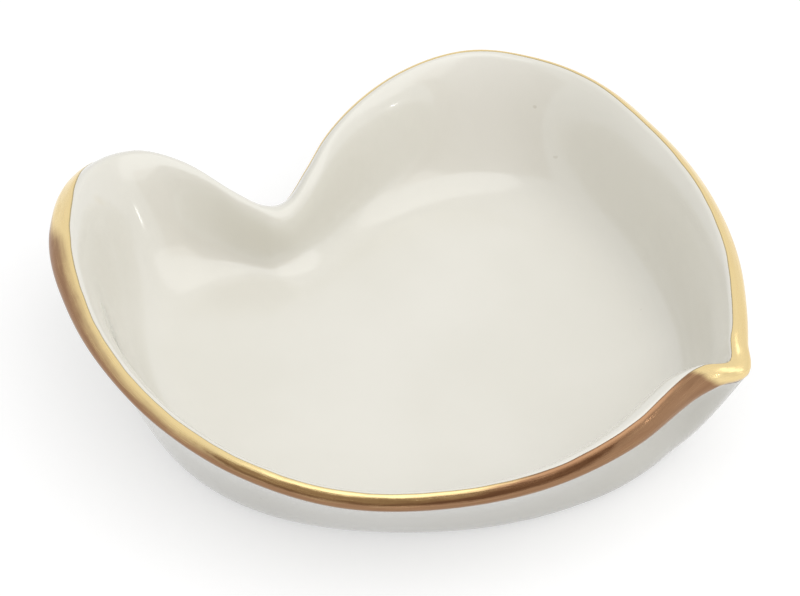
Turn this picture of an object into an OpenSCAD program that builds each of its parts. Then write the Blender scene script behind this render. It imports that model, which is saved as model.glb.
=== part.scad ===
// Heart-shaped ring dish: a porcelain shell on a low foot ring, glazed, with a gilded lip.
// The dish is drawn as upright sections that fan out from one point inside the heart.
// Each section runs from the foot up the outside, over the lip and down to the floor.

/* [Heart] */
// Width of the heart, on the middle of the lip
heart_w = 107; // [90:1:135]
// Length of the heart from the lobes to the tip, on the middle of the lip
heart_l = 106; // [90:1:135]
// Height of the middle of the lip where it stands highest
rim_h = 24; // [20:0.5:32]
// Drop of the lip from its highest point down to the cleft
cleft_drop = 9; // [4:0.5:10]

/* [Shell] */
// Thickness of the wall at the lip
wall_t = 3; // [2.2:0.1:4]
// Height of the rounded crown on the lip
crown_h = 0.9; // [0.5:0.1:1.4]
// Reach of the lip out past the edge of the underside
flare = 12; // [8:0.5:15]
// Reach of the round turn between the underside and the wall
turn_reach = 3; // [1:0.5:6]
// Reach of the soft curve between the floor and the inside of the wall
bowl_reach = 6; // [3:0.5:9]
// Thickness of the floor at its edge
floor_t = 3.4; // [2.6:0.1:4.5]
// Depth of the shallow dip in the middle of the floor
floor_dip = 0.5; // [0:0.1:0.9]

/* [Foot] */
// Height of the foot ring
foot_h = 1.3; // [0.8:0.1:2.5]
// Width of the foot ring
foot_w = 3; // [2:0.1:5]
// Distance of the foot ring in from the edge of the underside
foot_inset = 3.5; // [2:0.1:6]

/* [Glaze and gold] */
// Thickness of the glaze
glaze_t = 0.35; // [0.2:0.05:0.5]
// Thickness of the gold lustre, thicker than the real film
gold_t = 0.15; // [0.1:0.05:0.3]
// Distance that the gold runs down the outside below the lip
gold_drop = 0.8; // [0.4:0.1:4]
// Turn round the lip at which the gold ends inside, where 90 is the whole lip
gold_turn = 55; // [30:5:80]

/* [Hidden] */

// Line of the lip: angle round the middle of the dish, distance from it, and dip below the
// highest point. The first row is the cleft, and the rows near 298 are the pinched tip.
rim_line = [
    [70, 33, 9], [78, 33.5, 8.5], [83, 38.5, 7], [88, 46.5, 4], [94, 52.5, 2], [105, 55, 0.5],
    [120, 52, 0], [140, 47, 1], [160, 44.5, 1.5], [180, 44, 2.5], [200, 45, 3.5],
    [220, 46.5, 4.5], [240, 47.5, 5], [260, 50, 4.5], [275, 52.5, 3], [288, 54.5, 2],
    [294, 57, 2.5], [298, 60.5, 3.5], [303, 59.5, 2.5], [315, 58.5, 1.5], [335, 59, 1],
    [355, 61.5, 1], [370, 65, 1], [380, 65.5, 1], [390, 63.5, 1], [400, 56, 1.5],
    [415, 42, 4], [422, 36.5, 6.5]
];
// Width of the lip's face against wall_t
lip_share = [
    [72, 0.9], [90, 1.1], [105, 1.5], [122, 1.5], [145, 1.05], [170, 0.8], [240, 0.75],
    [265, 0.9], [286, 1.4], [293, 1.3], [299, 0.9], [320, 0.9], [380, 1], [415, 0.9]
];
// Lean of the lip's face away from level, outwards
lip_lean = [
    [72, 45], [90, 56], [108, 42], [140, 40], [180, 45], [240, 48], [265, 58], [285, 70],
    [293, 58], [299, 22], [306, 30], [330, 42], [380, 45], [415, 50]
];
// Reach of the lip past the underside against flare
flare_share = [
    [72, 0.75], [100, 1.1], [140, 0.9], [165, 0.75], [180, 0.8], [200, 0.95], [220, 1.15],
    [245, 1.1], [270, 0.85], [290, 0.6], [305, 0.6], [325, 0.75], [380, 1], [400, 1.05],
    [415, 0.9]
];

// Widest angle between two sections
section_gap = 4;
// Sections to each side that ease the outline of the foot
ease = 4;
// Steps up the wall, round the gilded part of the lip, past it, and down the inside
wall_steps = 5;
gilt_steps = 5;
crest_steps = 2;
bowl_steps = 7;
// Share of the wall's length that each end of its curve keeps straight
wall_pull = 0.33;
// Fullness of the lip's round, where 1 is an ellipse
lip_round = 0.83;
// Most that a slanting section widens its wall
most_skew = 2;
// Share of the floor's radius at each ring of the floor
floor_rings = [0.66, 0.33];

// A table's rows repeat after a full turn
function turns(table, i) = floor(i / len(table));
function knot(table, i) = table[i - len(table) * turns(table, i)][0] + 360 * turns(table, i);
function entry(table, i, c) = table[i - len(table) * turns(table, i)][c];
function slope(table, i, c) =
    (entry(table, i + 1, c) - entry(table, i - 1, c)) / (knot(table, i + 1) - knot(table, i - 1));
// Smooth curve through a table's column, read at an angle
function smooth_at(table, angle, c = 1) =
    let (a = angle < table[0][0] ? angle + 360 : angle)
    let (i = max([for (k = [0:len(table) - 1]) if (table[k][0] <= a) k]))
    let (h = knot(table, i + 1) - knot(table, i))
    let (s = (a - knot(table, i)) / h)
    (2 * s ^ 3 - 3 * s ^ 2 + 1) * entry(table, i, c) +
    (s ^ 3 - 2 * s ^ 2 + s) * h * slope(table, i, c) +
    (3 * s ^ 2 - 2 * s ^ 3) * entry(table, i + 1, c) +
    (s ^ 3 - s ^ 2) * h * slope(table, i + 1, c);
function column(points, c) = [for (p = points) p[c]];
function span(values) = max(values) - min(values);
// Average of each value with its neighbours up to k places off, round the ring
function eased(values, k) =
    let (n = len(values))
    [for (i = [0:n - 1])
        [for (j = [-k:k]) values[(i + j + n) % n]] * [for (j = [-k:k]) 1] / (2 * k + 1)];
function bezier(a, b, c, d, s) =
    a * (1 - s) ^ 3 + b * 3 * s * (1 - s) ^ 2 + c * 3 * s ^ 2 * (1 - s) + d * s ^ 3;

// Angle of each section, closer together where the outline bends
angles = [
    for (i = [0:len(rim_line) - 1])
        let (gap = knot(rim_line, i + 1) - knot(rim_line, i))
        let (steps = ceil(gap / section_gap))
        for (k = [0:steps - 1]) knot(rim_line, i) + gap * k / steps
];
n = len(angles);
shape = [for (a = angles) smooth_at(rim_line, a) * [cos(a), sin(a)]];
lip_line = [
    for (p = shape)
        [p[0] * heart_w / span(column(shape, 0)), p[1] * heart_l / span(column(shape, 1))]
];
reach = [for (p = lip_line) norm(p)];
way = [for (p = lip_line) p / norm(p)];
deepest = max(column(rim_line, 2));
height = [for (a = angles) rim_h - smooth_at(rim_line, a, 2) * cleft_drop / deepest];
lean = [for (a = angles) smooth_at(lip_lean, a)];
half = [for (a = angles) smooth_at(lip_share, a) * wall_t / 2];
// A section that crosses the lip at a slant is wider by this factor
skew = eased([
    for (i = [0:n - 1])
        let (along = lip_line[(i + 1) % n] - lip_line[(i + n - 1) % n])
        min(most_skew, norm(along) / abs(cross(way[i], along)))
], 2);
under = eased(eased([
    for (i = [0:n - 1]) reach[i] - flare * smooth_at(flare_share, angles[i])
], ease), ease);
foot_out = [for (i = [0:n - 1]) under[i] - foot_inset];
foot_in = [for (i = [0:n - 1]) foot_out[i] - foot_w];
floor_edge = [for (r = under) r - bowl_reach];
floor_z = foot_h + floor_t;

// Point of a section at a distance towards the inside and a height over the lip's face
function at_lip(i, inward, over) = [
    reach[i] + skew[i] * (over * sin(lean[i]) - inward * cos(lean[i])),
    height[i] + inward * sin(lean[i]) + over * cos(lean[i])
];
// Point on the rounded lip, from -90 at its outer edge to 90 at its inner edge
function on_lip(i, coat, turn) = at_lip(
    i,
    (half[i] + coat) * sign(sin(turn)) * abs(sin(turn)) ^ lip_round,
    (crown_h + coat) * abs(cos(turn)) ^ lip_round
);
function wall_length(i) =
    norm([(reach[i] - under[i]) / skew[i] + half[i] * cos(lean[i]), height[i] - foot_h]);
function on_wall(i, coat, s) = bezier(
    [under[i], foot_h - coat],
    [under[i] + skew[i] * turn_reach, foot_h - coat],
    at_lip(i, -half[i] - coat, -wall_pull * wall_length(i)),
    at_lip(i, -half[i] - coat, 0),
    s
);
function on_bowl(i, coat, s) = bezier(
    at_lip(i, half[i] + coat, 0),
    at_lip(i, half[i] + coat, -wall_pull * wall_length(i)),
    [under[i] + skew[i] * bowl_reach, floor_z + coat],
    [floor_edge[i], floor_z + coat],
    s
);
function floor_height(share, coat) = floor_z + coat - floor_dip * (1 - share ^ 2);

// Whole section under a coat of the given thickness, from the foot to the floor
function section(i, coat) =
    let (gilt = 1 - gold_drop / wall_length(i))
    concat(
        [[foot_out[i], foot_h - coat]],
        [for (k = [0:wall_steps]) on_wall(i, coat, gilt * k / wall_steps)],
        [for (k = [0:gilt_steps]) on_lip(i, coat, -90 + (gold_turn + 90) * k / gilt_steps)],
        [for (k = [1:crest_steps]) on_lip(i, coat, gold_turn + (90 - gold_turn) * k / crest_steps)],
        [for (k = [1:bowl_steps]) on_bowl(i, coat, k / bowl_steps)],
        [for (f = floor_rings) [floor_edge[i] * f, floor_height(f, coat)]]
    );
// Rows of a section between which the gold lies
gilt_first = 1 + wall_steps;
gilt_last = gilt_first + gilt_steps + 1;
rows = gilt_last + 1 + crest_steps + bowl_steps + len(floor_rings);

// The frame's origin lies under the middle of the dish's outline
gilt_edge = [
    for (i = [0:n - 1])
        let (points = section(i, glaze_t + gold_t))
        for (j = [gilt_first:gilt_last]) way[i] * points[j][0]
];
middle = [
    (max(column(gilt_edge, 0)) + min(column(gilt_edge, 0))) / 2,
    (max(column(gilt_edge, 1)) + min(column(gilt_edge, 1))) / 2
];
function place(i, p) = [
    way[i][0] * p[0] - middle[0],
    way[i][1] * p[0] - middle[1],
    p[1]
];
function outline(radii) = [for (i = [0:n - 1]) way[i] * radii[i] - middle];
// Points of rows first to last of every section, one row after another
function layer(coat, first, last) =
    let (sections = [for (i = [0:n - 1]) section(i, coat)])
    [for (j = [first:last]) for (i = [0:n - 1]) place(i, sections[i][j])];
// The same rows, last row first
function layer_back(coat, first, last) =
    let (points = layer(coat, first, last))
    [for (j = [last - first:-1:0]) for (i = [0:n - 1]) points[j * n + i]];
// Two triangles for each square between row a and row b, split along one diagonal or the other
function band(a, b, turned) = [
    for (i = [0:n - 1])
        let (k = (i + 1) % n)
        let (corners = [a * n + i, b * n + i, b * n + k, a * n + k])
        for (pick = turned ? [[0, 1, 3], [1, 2, 3]] : [[0, 1, 2], [0, 2, 3]])
            [for (c = pick) corners[c]]
];
function cap(row, pole, last) = [
    for (i = [0:n - 1])
        let (k = (i + 1) % n)
        last ? [row * n + i, pole, row * n + k] : [pole, row * n + i, row * n + k]
];
// Closed skin from one pole over its rows to the other
module skin(points, count, first_pole, last_pole, turned_rows) {
    polyhedron(
        points = concat(points, [first_pole, last_pole]),
        faces = concat(
            cap(0, count * n, false),
            [for (j = [0:count - 2]) each band(j, j + 1, j < turned_rows)],
            cap(count - 1, count * n + 1, true)
        )
    );
}
function floor_middle(coat) = [-middle[0], -middle[1], floor_height(0, coat)];

module porcelain_body() {
    color("#e9e4da")
        skin(layer(0, 0, rows - 1), rows, [-middle[0], -middle[1], foot_h], floor_middle(0), 0);
}

module foot_ring() {
    color("#d8cfc0")
        linear_extrude(foot_h)
            difference() {
                polygon(outline(foot_out));
                polygon(outline(foot_in));
            }
}

module glaze_coat() {
    color("#e8e6db")
        skin(
            concat(layer_back(0, 0, rows - 1), layer(glaze_t, 0, rows - 1)),
            2 * rows, floor_middle(0), floor_middle(glaze_t), rows
        );
}

module foot_well_glaze() {
    color("#e2dfd4")
        translate([0, 0, foot_h - glaze_t])
            linear_extrude(glaze_t)
                polygon(outline(foot_in));
}

module gold_rim() {
    count = gilt_last - gilt_first + 1;
    color("#d8b45a")
        polyhedron(
            points = concat(
                layer(glaze_t + gold_t, gilt_first, gilt_last),
                layer_back(glaze_t, gilt_first, gilt_last)
            ),
            faces = [
                for (j = [0:2 * count - 1])
                    each band(j, (j + 1) % (2 * count), j >= count)
            ]
        );
}

porcelain_body();
foot_ring();
glaze_coat();
foot_well_glaze();
gold_rim();
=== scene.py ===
"""A heart-shaped ring dish: glazed porcelain on a low foot ring, with a gilded lip."""
import math

import bmesh
import bpy
import numpy as np
from mathutils import Matrix, Vector
from mathutils.bvhtree import BVHTree


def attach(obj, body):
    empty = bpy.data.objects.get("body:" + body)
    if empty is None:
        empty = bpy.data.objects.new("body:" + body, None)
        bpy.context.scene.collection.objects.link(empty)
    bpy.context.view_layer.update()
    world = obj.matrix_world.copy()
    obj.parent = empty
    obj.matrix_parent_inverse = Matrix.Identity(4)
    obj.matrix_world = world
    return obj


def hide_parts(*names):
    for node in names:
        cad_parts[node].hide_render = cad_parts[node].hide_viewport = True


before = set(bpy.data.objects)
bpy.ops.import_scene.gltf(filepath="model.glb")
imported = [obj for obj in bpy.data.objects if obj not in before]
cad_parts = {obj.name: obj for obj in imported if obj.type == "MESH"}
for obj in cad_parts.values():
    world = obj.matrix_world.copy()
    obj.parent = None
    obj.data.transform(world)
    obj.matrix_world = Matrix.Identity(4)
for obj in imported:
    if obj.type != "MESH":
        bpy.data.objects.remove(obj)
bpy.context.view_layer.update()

MM = 0.001

# Sizes of the dish in millimetres, as its construction has them
HEART_W = 107  # width of the heart, on the middle of the lip
HEART_L = 106  # its length from the lobes to the tip
RIM_H = 24  # height of the middle of the lip where it stands highest
CLEFT_DROP = 9  # drop of the lip from there down to the cleft
WALL_T = 3  # thickness of the wall at the lip
CROWN_H = 0.9  # height of the rounded crown on the lip
FLARE = 12  # reach of the lip out past the edge of the underside
TURN_REACH = 3  # reach of the round turn between the underside and the wall
BOWL_REACH = 6  # reach of the soft curve between the floor and the inside of the wall
FLOOR_T = 3.4  # thickness of the floor at its edge
FLOOR_DIP = 0.5  # depth of the shallow dip in the middle of the floor
FOOT_H = 1.3  # height of the foot ring
FOOT_W = 3  # its width
FOOT_INSET = 3.5  # its distance in from the edge of the underside
GLAZE_T = 0.35  # thickness of the glaze
GOLD_T = 0.15  # thickness of the gold lustre
GOLD_DROP = 0.8  # distance that the gold runs down the outside below the lip

# Line of the lip: angle round the middle of the dish, distance from it, and dip below the
# highest point. The first row is the cleft, and the rows near 298 are the pinched tip.
RIM_LINE = [
    [70, 33, 9], [78, 33.5, 8.5], [83, 38.5, 7], [88, 46.5, 4], [94, 52.5, 2], [105, 55, 0.5],
    [120, 52, 0], [140, 47, 1], [160, 44.5, 1.5], [180, 44, 2.5], [200, 45, 3.5],
    [220, 46.5, 4.5], [240, 47.5, 5], [260, 50, 4.5], [275, 52.5, 3], [288, 54.5, 2],
    [294, 57, 2.5], [298, 60.5, 3.5], [303, 59.5, 2.5], [315, 58.5, 1.5], [335, 59, 1],
    [355, 61.5, 1], [370, 65, 1], [380, 65.5, 1], [390, 63.5, 1], [400, 56, 1.5],
    [415, 42, 4], [422, 36.5, 6.5],
]
# Width of the lip's face against WALL_T
LIP_SHARE = [
    [72, 0.9], [90, 1.1], [105, 1.5], [122, 1.5], [145, 1.05], [170, 0.8], [240, 0.75],
    [265, 0.9], [286, 1.4], [293, 1.3], [299, 0.9], [320, 0.9], [380, 1], [415, 0.9],
]
# Lean of the lip's face away from level, outwards
LIP_LEAN = [
    [72, 45], [90, 56], [108, 42], [140, 40], [180, 45], [240, 48], [265, 58], [285, 70],
    [293, 58], [299, 22], [306, 30], [330, 42], [380, 45], [415, 50],
]
# Reach of the lip past the underside against FLARE
FLARE_SHARE = [
    [72, 0.75], [100, 1.1], [140, 0.9], [165, 0.75], [180, 0.8], [200, 0.95], [220, 1.15],
    [245, 1.1], [270, 0.85], [290, 0.6], [305, 0.6], [325, 0.75], [380, 1], [400, 1.05],
    [415, 0.9],
]
# Turn round the lip at which the gold ends inside. Near the cleft it keeps to the outer edge
GOLD_TURN = [
    [72, -35], [92, -35], [104, 10], [116, 55], [150, 55], [180, 50], [260, 50], [285, 62],
    [295, 66], [302, 60], [320, 55], [380, 50], [405, 45], [420, 10],
]
# Share of the gold's width, from its outer edge, coloured brown as a painted reflection: the dark
# surroundings that the lip's outer face mirrors, painted into the gold's colour
PAINTED_REFLECTION_SHARE = [
    [72, 0.3], [108, 0.2], [116, 0.3], [127, 0.7], [160, 0.66], [200, 0.62], [232, 0.66],
    [248, 0.85], [260, 1.15], [286, 1.2], [290, 1.05], [295, 0.15], [300, 0.02], [320, 0.02],
    [400, 0.15],
]

# Widest angle between two sections of the construction, and between two that are drawn
SECTION_GAP = 4
FINE_GAP = 1.1
# Sections to each side that ease the outline of the foot, and the slant of the sections
EASE = 4
SLANT_EASE = 2
# Most that a slanting section widens its wall
MOST_SKEW = 2
# Share of the wall's length that each end of its curve keeps straight
WALL_PULL = 0.33
# Fullness of the lip's round, where 1 is an ellipse
LIP_ROUND = 0.83
# Turn round the lip at which the dish reaches furthest out
WIDEST_TURN = -60
# Steps up the wall, over the lip, down the inside, and across the floor
WALL_STEPS = 14
LIP_STEPS = 24
BOWL_STEPS = 26
FLOOR_STEPS = 12
# Hair's breadth between the fired shell and its glaze, so that their skins don't coincide
BODY_GAP = 0.01

# Waver of the gold's edges: millimetres deep, waves round the lip, and start in radians
GOLD_WAVES = [(0.16, 23, 1), (0.1, 41, 0), (0.07, 67, 0)]
# Degrees that the inner edge of the gold turns for each millimetre of waver
WAVER_TURN = 9
# Steps across the gold, those of them below the lip, and those in which an edge thickens
GOLD_STEPS = 26
DROP_STEPS = 3
FEATHER_STEPS = 3
# Rise of the gold's crest over its edges, and depths under the glaze's skin of the edges
# and of the hidden face, in millimetres
GOLD_RISE = 0.8 * GOLD_T
EDGE_DEPTH = 0.01
HIDDEN_DEPTH = 0.06

# Radius to which the foot ring's standing edges are rubbed, and steps round it
FOOT_ROUND = 0.6
FOOT_ROUND_STEPS = 6
# Glaze inside the foot ring: rings of its top, as shares of the way out to the foot ring,
# then share and thickness in millimetres at each ring of its underside and in the middle
WELL_TOP = [0.3, 0.65, 1]
WELL_UNDER = [[1, 0.16], [0.99, 0.24], [0.975, 0.3], [0.95, 0.33], [0.65, 0.31], [0.3, 0.34]]
WELL_MIDDLE_T = 0.33

# Colours of the dish, as linear red, green and blue
GLAZE_THIN = (0.79, 0.77, 0.70)
GLAZE_POOLED = (0.755, 0.735, 0.66)
WELL_THIN = (0.76, 0.74, 0.67)
WELL_POOLED = (0.72, 0.70, 0.62)
PINHOLE = (0.68, 0.65, 0.57)
FIRED_LIGHT = (0.84, 0.82, 0.77)
FIRED_DARK = (0.79, 0.77, 0.71)
BARE_LIGHT = (0.74, 0.69, 0.61)
BARE_DARK = (0.62, 0.56, 0.48)
BARE_RUBBED = (0.55, 0.51, 0.46)
# Browns of a painted reflection: the dark surroundings mirrored by the gold's outer face, painted into
# its colour
PAINTED_REFLECTION_DARK = (0.22, 0.11, 0.06)
PAINTED_REFLECTION_LIGHT = (0.40, 0.24, 0.13)
GOLD_BRIGHT = (0.92, 0.76, 0.42)
GOLD_DEEP = (0.68, 0.49, 0.22)
GOLD_PATCH = (0.84, 0.66, 0.33)
GOLD_INNER_EDGE = (0.46, 0.37, 0.2)
# Painted shade along the gold's outer edge, where the band turns under
GOLD_OUTER_EDGE_SHADE = (0.2, 0.09, 0.05)

# Brush streaks in the gold: how many to a millimetre along it, and across its whole width
STREAKS_ALONG = 0.11
STREAKS_ACROSS = 9
# Border of the brown painted reflection, in shares of the gold's width: shift by streaks and by
# patches, blur
STREAK_SHIFT = 0.22
PATCH_SHIFT = 0.12
BORDER_BLUR = 0.38

# The photograph's camera: it looks along +X and +Y, down at the dish
IMAGE_W, IMAGE_H = 800, 596
AIM = Vector((2, 5, 10)) * MM
VIEW_AZIMUTH = math.radians(-45)
VIEW_ELEVATION = math.radians(40)
VIEW_DISTANCE = 0.62
PIXELS_PER_METRE = 6100
SENSOR = 36
CLIP_NEAR, CLIP_FAR = 0.01, 20

LOOK = Vector((
    -math.sin(VIEW_AZIMUTH) * math.cos(VIEW_ELEVATION),
    math.cos(VIEW_AZIMUTH) * math.cos(VIEW_ELEVATION),
    -math.sin(VIEW_ELEVATION),
))
RIGHT = Vector((math.cos(VIEW_AZIMUTH), math.sin(VIEW_AZIMUTH), 0))
UP = RIGHT.cross(LOOK)
AWAY = Vector((LOOK.x, LOOK.y, 0)).normalized()
EYE = AIM - LOOK * VIEW_DISTANCE

# Floor: half its side in metres, its colour where it lights the dish and where it is seen,
# and the light that it adds where it is seen, so that it shows white
FLOOR_HALF = 3.0
FLOOR_BOUNCE = (0.42, 0.42, 0.41)
FLOOR_SEEN = (0.5, 0.5, 0.5)
FLOOR_LIFT = 0.56

# Even light from all round, and the key lamp over the right shoulder of the camera
WORLD_LEVEL = 0.7
KEY_PLACE = AIM + RIGHT * 0.34 - AWAY * 0.32 + Vector((0, 0, 0.95))
KEY_SIZE = (1.5, 1.5)
KEY_WATTS = 6.8

# The dim side of the room behind the camera, which only reflections see
CARD_PLACE = EYE - LOOK * 0.35 - UP * 0.12
CARD_HALF = (1.3, 0.5)
CARD_COLOUR = (0.40, 0.31, 0.25)

# Highlights in the bowl: pixel of the photograph, lamp size in metres, watts and roll
STAR = ((138, 219), (0.014, 0.014), 0.03, 0.0)
LEFT_STREAK = ((184, 214), (0.012, 0.1), 0.08, 0.0)
CLEFT_STREAK = ((322, 229), (0.03, 0.12), 0.4, -1.0)
LAMP_DISTANCE = 0.8


def smooth_at(table, angles, column=1):
    """Smooth closed curve through a column of a table, read at angles in degrees."""
    rows = np.array(table, float)
    at = np.concatenate([rows[-2:, 0] - 360, rows[:, 0], rows[:2, 0] + 360])
    value = np.concatenate([rows[-2:, column], rows[:, column], rows[:2, column]])
    slope = np.zeros(len(at))
    slope[1:-1] = (value[2:] - value[:-2]) / (at[2:] - at[:-2])
    turned = (np.asarray(angles, float) - rows[0, 0]) % 360 + rows[0, 0]
    i = np.searchsorted(at, turned, side="right") - 1
    gap = at[i + 1] - at[i]
    s = (turned - at[i]) / gap
    return (
        (2 * s**3 - 3 * s**2 + 1) * value[i]
        + (s**3 - 2 * s**2 + s) * gap * slope[i]
        + (3 * s**2 - 2 * s**3) * value[i + 1]
        + (s**3 - s**2) * gap * slope[i + 1]
    )


def section_angles(widest):
    """Angles of the sections, closer together where the outline bends."""
    rows = [row[0] for row in RIM_LINE] + [RIM_LINE[0][0] + 360]
    angles = []
    for here, after in zip(rows, rows[1:]):
        steps = math.ceil((after - here) / widest)
        angles += [here + (after - here) * k / steps for k in range(steps)]
    return np.array(angles)


def eased(values, k):
    """Average of each value with its neighbours up to k places off."""
    return sum(np.roll(values, j) for j in range(-k, k + 1)) / (2 * k + 1)


def plan_points(angles, scale):
    """The line of the lip seen from above."""
    distance = smooth_at(RIM_LINE, angles)
    turn = np.radians(angles)
    return np.stack([distance * np.cos(turn), distance * np.sin(turn)], 1) * scale


def plan_scale(angles):
    """What the line of the lip is stretched by to have the heart's width and length."""
    points = plan_points(angles, 1)
    return np.array([HEART_W, HEART_L]) / (points.max(0) - points.min(0))


def bezier(a, b, c, d, s):
    """Point of a cubic curve, from 0 at a to 1 at d."""
    s = np.asarray(s, float).reshape(-1, 1)
    return a * (1 - s) ** 3 + b * 3 * s * (1 - s) ** 2 + c * 3 * s**2 * (1 - s) + d * s**3


def level(radii, height):
    """Section points at one height."""
    return np.stack([radii, np.full(len(radii), height)], 1)


class Sections:
    """The upright sections of the dish, which fan out from one point inside the heart.

    A section point is a distance from that point and a height, in millimetres. A coat is a
    thickness that the point stands out from the porcelain."""

    def __init__(self):
        coarse = section_angles(SECTION_GAP)
        scale = plan_scale(coarse)
        lip = plan_points(coarse, scale)
        reach = np.linalg.norm(lip, axis=1)
        way = lip / reach[:, None]
        along = np.roll(lip, -1, 0) - np.roll(lip, 1, 0)
        across = np.abs(way[:, 0] * along[:, 1] - way[:, 1] * along[:, 0])
        slant = np.minimum(MOST_SKEW, np.linalg.norm(along, axis=1) / across)
        inner = reach - FLARE * smooth_at(FLARE_SHARE, coarse)
        support = np.stack([coarse, eased(slant, SLANT_EASE), eased(eased(inner, EASE), EASE)], 1)

        self.angles = section_angles(FINE_GAP)
        self.lip = plan_points(self.angles, scale)
        self.reach = np.linalg.norm(self.lip, axis=1)
        self.way = self.lip / self.reach[:, None]
        deepest = max(row[2] for row in RIM_LINE)
        dip = smooth_at(RIM_LINE, self.angles, 2)
        self.height = RIM_H - dip * CLEFT_DROP / deepest
        self.lean = np.radians(smooth_at(LIP_LEAN, self.angles))
        self.half = smooth_at(LIP_SHARE, self.angles) * WALL_T / 2
        self.skew = smooth_at(support, self.angles, 1)
        self.under = smooth_at(support, self.angles, 2)
        self.foot_out = self.under - FOOT_INSET
        self.foot_in = self.foot_out - FOOT_W
        self.floor_edge = self.under - BOWL_REACH
        self.floor_z = FOOT_H + FLOOR_T
        # The outline's own middle becomes the dish's origin
        self.middle = np.zeros(2)
        rim = self.place(self.on_lip(GLAZE_T + GOLD_T, WIDEST_TURN))
        self.middle = (rim.max(0)[:2] + rim.min(0)[:2]) / 2

    def at_lip(self, inward, over):
        """Point that lies inward along the lip's face and over it."""
        sin, cos = np.sin(self.lean), np.cos(self.lean)
        return np.stack([
            self.reach + self.skew * (over * sin - inward * cos),
            self.height + inward * sin + over * cos,
        ], 1)

    def on_lip(self, coat, turn):
        """Point on the rounded lip, from -90 at its outer edge to 90 at its inner edge."""
        s, c = np.sin(np.radians(turn)), np.cos(np.radians(turn))
        inward = (self.half + coat) * np.sign(s) * np.abs(s) ** LIP_ROUND
        return self.at_lip(inward, (CROWN_H + coat) * np.abs(c) ** LIP_ROUND)

    def wall_length(self):
        """Straight length of the outside, from the underside to the lip."""
        return np.hypot(
            (self.reach - self.under) / self.skew + self.half * np.cos(self.lean),
            self.height - FOOT_H,
        )

    def on_wall(self, coat, s):
        """Point on the outside, from 0 at the underside to 1 at the lip."""
        low = np.full(len(self.under), FOOT_H - coat)
        return bezier(
            np.stack([self.under, low], 1),
            np.stack([self.under + self.skew * TURN_REACH, low], 1),
            self.at_lip(-self.half - coat, -WALL_PULL * self.wall_length()),
            self.at_lip(-self.half - coat, 0),
            s,
        )

    def on_bowl(self, coat, s):
        """Point on the inside, from 0 at the lip to 1 at the floor."""
        floor = np.full(len(self.under), self.floor_z + coat)
        return bezier(
            self.at_lip(self.half + coat, 0),
            self.at_lip(self.half + coat, -WALL_PULL * self.wall_length()),
            np.stack([self.under + self.skew * BOWL_REACH, floor], 1),
            np.stack([self.floor_edge, floor], 1),
            s,
        )

    def on_floor(self, coat, share):
        """Point on the dipped floor, from 0 in its middle to 1 at its edge."""
        return level(self.floor_edge * share, self.floor_z + coat - FLOOR_DIP * (1 - share**2))

    def place(self, points):
        """Section points as points of the dish."""
        flat = self.way * points[:, :1] - self.middle
        return np.column_stack([flat, points[:, 1]])

    def pole(self, height):
        """Point of the dish at which the sections meet, at a height."""
        return (-self.middle[0], -self.middle[1], height)

    def floor_pole(self, coat):
        """Point at the bottom of the floor's dip."""
        return self.pole(self.floor_z + coat - FLOOR_DIP)


def ring_mesh(name, rows, closed=False, poles=(None, None)):
    """A smooth mesh from rows of points round the dish, in millimetres.

    closed joins the last row to the first, and a pole closes the skin at its end."""
    count = len(rows[0])
    points = [p for row in rows for p in row]
    faces = []
    joins = len(rows) if closed else len(rows) - 1
    for j in range(joins):
        a, b = j * count, (j + 1) % len(rows) * count
        for i in range(count):
            k = (i + 1) % count
            faces.append((a + i, b + i, b + k, a + k))
    for pole, row, first in ((poles[0], 0, True), (poles[1], len(rows) - 1, False)):
        if pole is None:
            continue
        points.append(pole)
        tip = len(points) - 1
        for i in range(count):
            k = (i + 1) % count
            here, after = row * count + i, row * count + k
            faces.append((tip, here, after) if first else (here, tip, after))
    mesh = bpy.data.meshes.new(name)
    mesh.from_pydata([Vector(p) * MM for p in points], [], faces)
    mesh.shade_smooth()
    work = bmesh.new()
    work.from_mesh(mesh)
    bmesh.ops.recalc_face_normals(work, faces=work.faces)
    work.to_mesh(mesh)
    work.free()
    piece = bpy.data.objects.new(name, mesh)
    bpy.context.scene.collection.objects.link(piece)
    return piece


def store(piece, name, values):
    """Keeps one number for each point of a piece, for its material."""
    attribute = piece.data.attributes.new(name, "FLOAT", "POINT")
    attribute.data.foreach_set("value", np.asarray(values, np.float32))


def glaze_rows(dish, coat):
    """Rows of the dish's skin from the foot ring, up and over the lip, to the floor."""
    rows = [level(dish.foot_out, FOOT_H - coat)]
    rows += [dish.on_wall(coat, k / WALL_STEPS) for k in range(WALL_STEPS)]
    rows += [dish.on_lip(coat, -90 + 180 * k / LIP_STEPS) for k in range(LIP_STEPS + 1)]
    rows += [dish.on_bowl(coat, k / BOWL_STEPS) for k in range(1, BOWL_STEPS + 1)]
    rows += [dish.on_floor(coat, 1 - k / FLOOR_STEPS) for k in range(1, FLOOR_STEPS)]
    return [dish.place(row) for row in rows]


def make_body(dish):
    """The fired shell under the glaze."""
    rows = glaze_rows(dish, -BODY_GAP)
    return ring_mesh("fired_shell", rows, poles=(dish.pole(FOOT_H), dish.floor_pole(-BODY_GAP)))


def make_glaze(dish):
    """The glaze over the whole dish, as a thin closed skin down to the foot ring."""
    inner = glaze_rows(dish, 0)[::-1]
    outer = glaze_rows(dish, GLAZE_T)
    return ring_mesh("glaze", inner + outer, poles=(dish.floor_pole(0), dish.floor_pole(GLAZE_T)))


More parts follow.
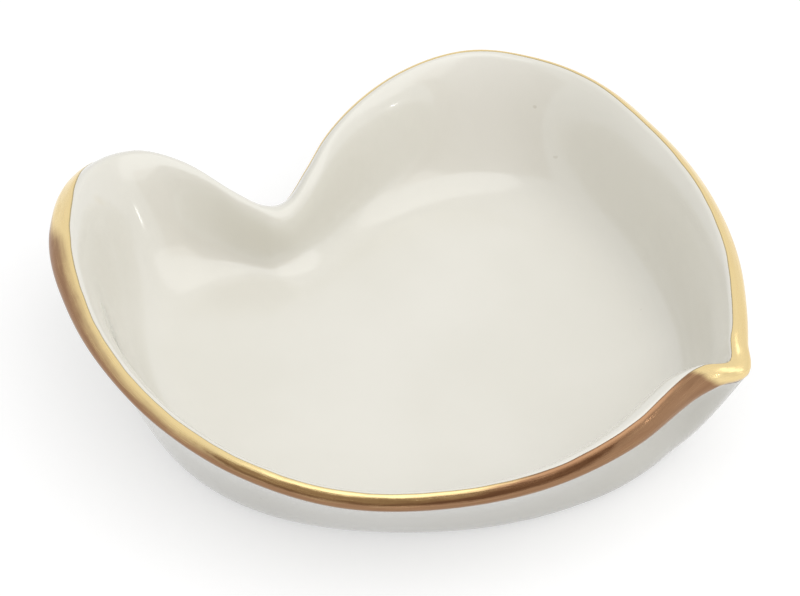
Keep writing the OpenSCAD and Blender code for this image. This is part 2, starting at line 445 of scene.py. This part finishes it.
def make_gold(dish):
    """The fired gold band, with soft uneven edges that feather into the glaze."""
    angles = np.radians(dish.angles)
    waver = sum(deep * np.sin(waves * angles + start) for deep, waves, start in GOLD_WAVES)
    first = 1 - (GOLD_DROP + waver) / dish.wall_length()
    last = smooth_at(GOLD_TURN, dish.angles) + WAVER_TURN * waver

    def band_row(k, coat):
        """Row k of the band: up the last of the wall, and then over the lip."""
        if k < DROP_STEPS:
            return dish.place(dish.on_wall(coat, first + (1 - first) * k / DROP_STEPS))
        turn = -90 + (last + 90) * (k - DROP_STEPS) / (GOLD_STEPS - DROP_STEPS)
        return dish.place(dish.on_lip(coat, turn))

    seen, hidden = [], []
    for k in range(GOLD_STEPS + 1):
        rise = min(1, k / FEATHER_STEPS, (GOLD_STEPS - k) / FEATHER_STEPS)
        lift = GOLD_RISE * math.sin(rise * math.pi / 2)
        seen.append(band_row(k, GLAZE_T - EDGE_DEPTH + lift))
        hidden.append(band_row(k, GLAZE_T - HIDDEN_DEPTH))
    piece = ring_mesh("gold_band", seen + hidden[::-1], closed=True)

    shares = [k / GOLD_STEPS for k in range(GOLD_STEPS + 1)]
    shares += shares[::-1]
    step = np.linalg.norm(np.roll(dish.lip, -1, 0) - dish.lip, axis=1)
    along = np.concatenate([[0], np.cumsum(step)[:-1]])
    # Share of the band coloured as a painted reflection of dark surroundings
    brown_painted_reflection = np.maximum(0, smooth_at(PAINTED_REFLECTION_SHARE, dish.angles))
    store(piece, "across", np.repeat(shares, len(angles)))
    store(piece, "along", np.tile(along, len(shares)))
    store(piece, "brown_painted_reflection", np.tile(brown_painted_reflection, len(shares)))
    return piece


def make_foot_ring(dish):
    """The bare foot ring, with its standing edges rubbed round."""
    turns = [math.pi / 2 * k / FOOT_ROUND_STEPS for k in range(FOOT_ROUND_STEPS + 1)]
    bend = [(FOOT_ROUND * (1 - math.cos(t)), FOOT_ROUND * (1 - math.sin(t))) for t in turns]
    rows = [level(dish.foot_out, FOOT_H)]
    rows += [level(dish.foot_out - inset, height) for inset, height in bend]
    rows += [level(dish.foot_in + inset, height) for inset, height in reversed(bend)]
    rows.append(level(dish.foot_in, FOOT_H))
    return ring_mesh("bare_foot_ring", [dish.place(row) for row in rows], closed=True)


def make_well_glaze(dish):
    """The glaze under the floor, drawn thin where it meets the foot ring."""
    rows = [level(dish.foot_in * share, FOOT_H) for share in WELL_TOP]
    rows += [level(dish.foot_in * share, FOOT_H - thick) for share, thick in WELL_UNDER]
    poles = (dish.pole(FOOT_H), dish.pole(FOOT_H - WELL_MIDDLE_T))
    return ring_mesh("well_glaze", [dish.place(row) for row in rows], poles=poles)


class Nodes:
    """A node tree, with short ways to add nodes."""

    def __init__(self, tree):
        self.tree = tree

    def node(self, kind, **settings):
        made = self.tree.nodes.new(kind)
        for key, value in settings.items():
            setattr(made, key, value)
        return made

    def link(self, source, target):
        self.tree.links.new(source, target)

    def maths(self, operation, a, b=0.0, c=0.0, clamp=False):
        """Result of a sum, whose terms are numbers or sockets."""
        made = self.node("ShaderNodeMath", operation=operation, use_clamp=clamp)
        for socket, value in zip(made.inputs, (a, b, c)):
            if isinstance(value, (int, float)):
                socket.default_value = value
            else:
                self.link(value, socket)
        return made.outputs[0]

    def spread(self, value, low, high, to_low=0.0, to_high=1.0):
        """Number that goes smoothly from to_low to to_high as value goes from low to high."""
        made = self.node("ShaderNodeMapRange", interpolation_type="SMOOTHSTEP")
        made.inputs["From Min"].default_value = low
        made.inputs["From Max"].default_value = high
        made.inputs["To Min"].default_value = to_low
        made.inputs["To Max"].default_value = to_high
        self.link(value, made.inputs["Value"])
        return made.outputs[0]

    def seen(self):
        """1 for what the camera sees, straight or mirrored, and 0 for light on the dish."""
        rays = self.node("ShaderNodeLightPath")
        seen = self.maths("ADD", rays.outputs["Is Camera Ray"], rays.outputs["Is Glossy Ray"])
        return self.maths("ADD", seen, rays.outputs["Is Transmission Ray"], clamp=True)


class Shader(Nodes):
    """A new material's node tree, round its one surface shader."""

    def __init__(self, name):
        self.material = bpy.data.materials.new(name)
        self.material.use_nodes = True
        super().__init__(self.material.node_tree)
        self.surface = self.tree.nodes["Principled BSDF"]

    def set(self, **values):
        """Sets sockets of the surface shader, whose spaces are written as underscores."""
        for name, value in values.items():
            self.surface.inputs[name.replace("_", " ")].default_value = value

    def attribute(self, name):
        return self.node("ShaderNodeAttribute", attribute_name=name).outputs["Fac"]

    def noise(self, size, detail=3, roughness=0.5, where=None):
        """Noise from 0 to 1, whose features are about size across.

        size is in metres in the dish's own frame, or in the units of where."""
        made = self.node("ShaderNodeTexNoise")
        made.inputs["Scale"].default_value = 1 / size
        made.inputs["Detail"].default_value = detail
        made.inputs["Roughness"].default_value = roughness
        place = where or self.node("ShaderNodeTexCoord").outputs["Object"]
        self.link(place, made.inputs["Vector"])
        return made.outputs["Fac"]

    def blend(self, share, first, second):
        """Colour from first to second as share goes from 0 to 1."""
        made = self.node("ShaderNodeMix", data_type="RGBA")
        self.link(share, made.inputs[0])
        for socket, colour in ((made.inputs[6], first), (made.inputs[7], second)):
            if isinstance(colour, tuple):
                socket.default_value = (*colour, 1)
            else:
                self.link(colour, socket)
        return made.outputs[2]

    def bump(self, height, depth, previous=None):
        """Bump depth metres deep where height goes from 0 to 1."""
        made = self.node("ShaderNodeBump")
        made.inputs["Distance"].default_value = depth
        self.link(height, made.inputs["Height"])
        if previous is not None:
            self.link(previous, made.inputs["Normal"])
        return made.outputs[0]

    def finish(self, colour, roughness, normal):
        """Joins the three to the surface shader, and gives the finished material."""
        self.link(colour, self.surface.inputs["Base Color"])
        self.link(roughness, self.surface.inputs["Roughness"])
        self.link(normal, self.surface.inputs["Normal"])
        return self.material


def glaze_material(name, thin, pooled):
    """Thick glossy glaze: soft pooling of its tint, slow waves and a few pinholes."""
    shader = Shader(name)
    pooling = shader.spread(shader.noise(0.03), 0.3, 0.7)
    pinholes = shader.spread(shader.noise(0.0016, detail=0), 0.87, 0.92)
    colour = shader.blend(pinholes, shader.blend(pooling, thin, pooled), PINHOLE)
    cloudy = shader.noise(0.012, detail=4, roughness=0.6)
    roughness = shader.spread(cloudy, 0.3, 0.75, to_low=0.14, to_high=0.26)
    waves = shader.bump(shader.noise(0.02, detail=1), 0.00005)
    peel = shader.bump(shader.noise(0.0022, detail=2), 0.000006, waves)
    shader.set(IOR=1.45, Coat_Weight=0.8, Coat_Roughness=0.1)
    return shader.finish(colour, roughness, peel)


def porcelain_material():
    """Fired porcelain under the glaze: a fine dense grain."""
    shader = Shader("fired_porcelain")
    grain = shader.noise(0.004, detail=4, roughness=0.6)
    colour = shader.blend(grain, FIRED_LIGHT, FIRED_DARK)
    roughness = shader.spread(shader.noise(0.0008), 0.3, 0.7, to_low=0.5, to_high=0.65)
    return shader.finish(colour, roughness, shader.bump(shader.noise(0.0004), 0.00002))


def bare_material():
    """Unglazed foot: warm grain, darker where it has rubbed on tables."""
    shader = Shader("bare_porcelain")
    grain = shader.noise(0.0009, detail=5, roughness=0.7)
    rubbed = shader.spread(shader.noise(0.007), 0.5, 0.72)
    colour = shader.blend(rubbed, shader.blend(grain, BARE_LIGHT, BARE_DARK), BARE_RUBBED)
    coarse = shader.noise(0.0012, detail=4)
    roughness = shader.spread(coarse, 0.3, 0.7, to_low=0.6, to_high=0.85)
    return shader.finish(colour, roughness, shader.bump(shader.noise(0.0005, detail=4), 0.00004))


def gold_material():
    """Burnished gold lustre: brushed along the band, with a brown painted reflection of dark
    surroundings on its outer share.
    """
    shader = Shader("gold_lustre")
    across = shader.attribute("across")
    painted_reflection_share = shader.attribute("brown_painted_reflection")
    band = shader.node("ShaderNodeCombineXYZ")
    shader.link(shader.maths("MULTIPLY", shader.attribute("along"), STREAKS_ALONG), band.inputs[0])
    shader.link(shader.maths("MULTIPLY", across, STREAKS_ACROSS), band.inputs[1])
    streaks = shader.noise(1, detail=4, roughness=0.65, where=band.outputs[0])
    patches = shader.noise(0.006, detail=4, roughness=0.6)

    border = shader.maths("MULTIPLY_ADD", streaks, STREAK_SHIFT, across)
    border = shader.maths("MULTIPLY_ADD", patches, PATCH_SHIFT, border)
    bright = shader.spread(shader.maths("SUBTRACT", border, painted_reflection_share), 0, BORDER_BLUR)
    # Painted reflection: the outer share of the band takes a brown for the dark surroundings that it
    # mirrors
    brown_painted_reflection = shader.blend(streaks, PAINTED_REFLECTION_DARK, PAINTED_REFLECTION_LIGHT)
    gold = shader.blend(patches, shader.blend(streaks, GOLD_BRIGHT, GOLD_DEEP), GOLD_PATCH)
    gold = shader.blend(shader.spread(across, 0.93, 0.98), gold, GOLD_INNER_EDGE)
    colour = shader.blend(bright, brown_painted_reflection, gold)

    # Painted shade: a dark line along the gold's outer edge, where the band turns under, which wavers
    # with the patches and is wider where the brown painted reflection is
    painted_edge_shade = shader.maths("MULTIPLY_ADD", patches, 0.16, across)
    painted_edge_shade = shader.maths("MULTIPLY_ADD", painted_reflection_share, -0.1, painted_edge_shade)
    colour = shader.blend(shader.spread(painted_edge_shade, 0.08, 0.2), GOLD_OUTER_EDGE_SHADE, colour)
    roughness = shader.spread(streaks, 0.3, 0.7, to_low=0.14, to_high=0.3)
    wobble = shader.bump(shader.noise(0.005, detail=2), 0.00011)
    shader.set(Metallic=1.0)
    return shader.finish(colour, roughness, shader.bump(streaks, 0.00003, wobble))


def floor_material():
    """Pale card, lifted to white where the camera and reflections see it."""
    shader = Shader("pale_floor")
    seen = shader.seen()
    colour = shader.blend(seen, FLOOR_BOUNCE, FLOOR_SEEN)
    shader.link(colour, shader.surface.inputs["Base Color"])
    shader.link(shader.maths("MULTIPLY", seen, FLOOR_LIFT), shader.surface.inputs["Emission Strength"])
    shader.set(Roughness=0.9, Specular_IOR_Level=0.1, Emission_Color=(1, 1, 1, 1))
    return shader.material


def card_material():
    """An even dim glow that mirrors nothing."""
    shader = Shader("dark_card")
    shader.set(Base_Color=(0, 0, 0, 1), Specular_IOR_Level=0.0)
    shader.set(Emission_Color=(*CARD_COLOUR, 1), Emission_Strength=1.0)
    return shader.material


def dress(piece, material, slot, *nodes):
    """Gives a piece its material and its body, and hides the nodes that it stands for. slot is not
    used.
    """
    piece.data.materials.clear()
    piece.data.materials.append(material)
    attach(piece, "root")
    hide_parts(*nodes)


def make_camera():
    """The photograph's camera."""
    data = bpy.data.cameras.new("camera")
    data.sensor_width = SENSOR
    data.lens = SENSOR * PIXELS_PER_METRE * VIEW_DISTANCE / IMAGE_W
    data.clip_start, data.clip_end = CLIP_NEAR, CLIP_FAR
    camera = bpy.data.objects.new("camera", data)
    camera.location = EYE
    camera.rotation_euler = LOOK.to_track_quat("-Z", "Y").to_euler()
    bpy.context.scene.collection.objects.link(camera)
    bpy.context.scene.camera = camera


def make_sheet(name, middle, right, up, material):
    """A flat four-cornered sheet that reaches right and up, and as far back, from its middle."""
    mesh = bpy.data.meshes.new(name)
    corners = [middle + right * a + up * b for a, b in ((-1, -1), (1, -1), (1, 1), (-1, 1))]
    mesh.from_pydata(corners, [], [(0, 1, 2, 3)])
    mesh.materials.append(material)
    sheet = bpy.data.objects.new(name, mesh)
    bpy.context.scene.collection.objects.link(sheet)
    return sheet


def make_floor():
    """The level floor that the dish stands on."""
    right, up = Vector((FLOOR_HALF, 0, 0)), Vector((0, FLOOR_HALF, 0))
    floor = make_sheet("floor", Vector((0, 0, 0)), right, up, floor_material())


def make_world():
    """Dim even light, and a white background for the camera and for reflections."""
    world = bpy.data.worlds.new("studio")
    world.use_nodes = True
    nodes = Nodes(world.node_tree)
    background = nodes.tree.nodes["Background"]
    background.inputs["Color"].default_value = (1, 1, 1, 1)
    nodes.link(nodes.spread(nodes.seen(), 0, 1, WORLD_LEVEL, 1), background.inputs["Strength"])
    bpy.context.scene.world = world


def make_lamp(name, place, aim, size, watts, roll=0.0):
    """A flat lamp that faces aim, rolled about the line to it."""
    data = bpy.data.lights.new(name, "AREA")
    data.shape = "RECTANGLE"
    data.size, data.size_y = size
    data.energy = watts
    lamp = bpy.data.objects.new(name, data)
    turn = (aim - place).to_track_quat("-Z", "Y").to_matrix() @ Matrix.Rotation(roll, 3, "Z")
    lamp.matrix_world = Matrix.Translation(place) @ turn.to_4x4()
    bpy.context.scene.collection.objects.link(lamp)


def make_dark_card():
    """The dim card behind the camera, which only the gold and the glaze mirror."""
    right, up = RIGHT * CARD_HALF[0], UP * CARD_HALF[1]
    card = make_sheet("dark_card", CARD_PLACE, right, up, card_material())
    card.visible_camera = False
    card.visible_diffuse = False
    card.visible_shadow = False


def make_highlights(glaze):
    """Small lamps placed where the glaze mirrors them to the camera, as window lights do."""
    tree = BVHTree.FromObject(glaze, bpy.context.evaluated_depsgraph_get())
    focal = PIXELS_PER_METRE * VIEW_DISTANCE
    for number, (pixel, size, watts, roll) in enumerate((STAR, LEFT_STREAK, CLEFT_STREAK), 1):
        right, up = pixel[0] - IMAGE_W / 2, IMAGE_H / 2 - pixel[1]
        ray = (LOOK + RIGHT * right / focal + UP * up / focal).normalized()
        hit, normal, _, _ = tree.ray_cast(EYE, ray)
        place = hit + ray.reflect(normal) * LAMP_DISTANCE
        make_lamp(f"highlight_{number}", place, hit, size, watts, roll)


dish = Sections()
glaze = make_glaze(dish)
glaze_look = glaze_material("off_white_glaze", GLAZE_THIN, GLAZE_POOLED)
well_look = glaze_material("well_glaze", WELL_THIN, WELL_POOLED)
dress(glaze, glaze_look, "glaze", "glaze_coat")
dress(make_gold(dish), gold_material(), "gold", "gold_rim")
dress(make_foot_ring(dish), bare_material(), "bare_porcelain", "foot_ring")
dress(make_well_glaze(dish), well_look, "foot_well_glaze", "foot_well_glaze")
dress(make_body(dish), porcelain_material(), "porcelain", "porcelain_body")

make_camera()
make_floor()
make_world()
make_lamp("key", KEY_PLACE, AIM, KEY_SIZE, KEY_WATTS)
make_dark_card()
make_highlights(glaze)
bpy.context.scene.view_settings.view_transform = "Standard"
